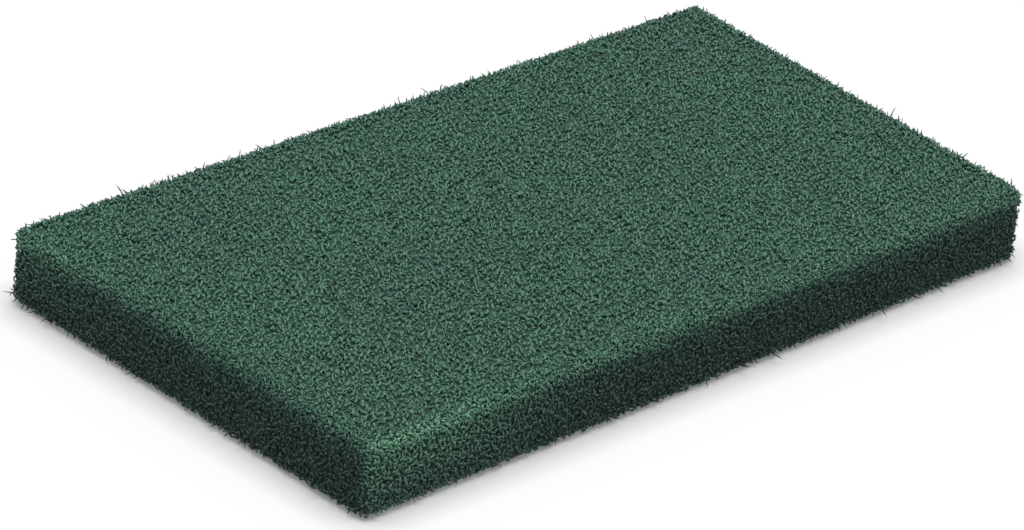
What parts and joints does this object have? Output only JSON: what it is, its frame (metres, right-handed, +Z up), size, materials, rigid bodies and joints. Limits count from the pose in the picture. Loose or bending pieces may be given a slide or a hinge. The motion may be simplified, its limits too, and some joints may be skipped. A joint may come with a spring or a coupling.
{
  "type": "nylon scouring pad",
  "caption": "Thick rectangular scouring pad of open non-woven nylon web, dark green, with softened edges and a hairy cut outline.",
  "frame": {"origin": "centre of the underside, on the surface the pad lies on", "axes": "+X along the pad's length, +Y across its width, +Z up through its thickness"},
  "size_m": [0.25, 0.14, 0.023],
  "materials": {
    "nylon_web": "matt crimped nylon fibres, resin bonded"
  },
  "bodies": {
    "root": {"nylon_web_pad": "nylon_web"}
  },
  "joints": []
}
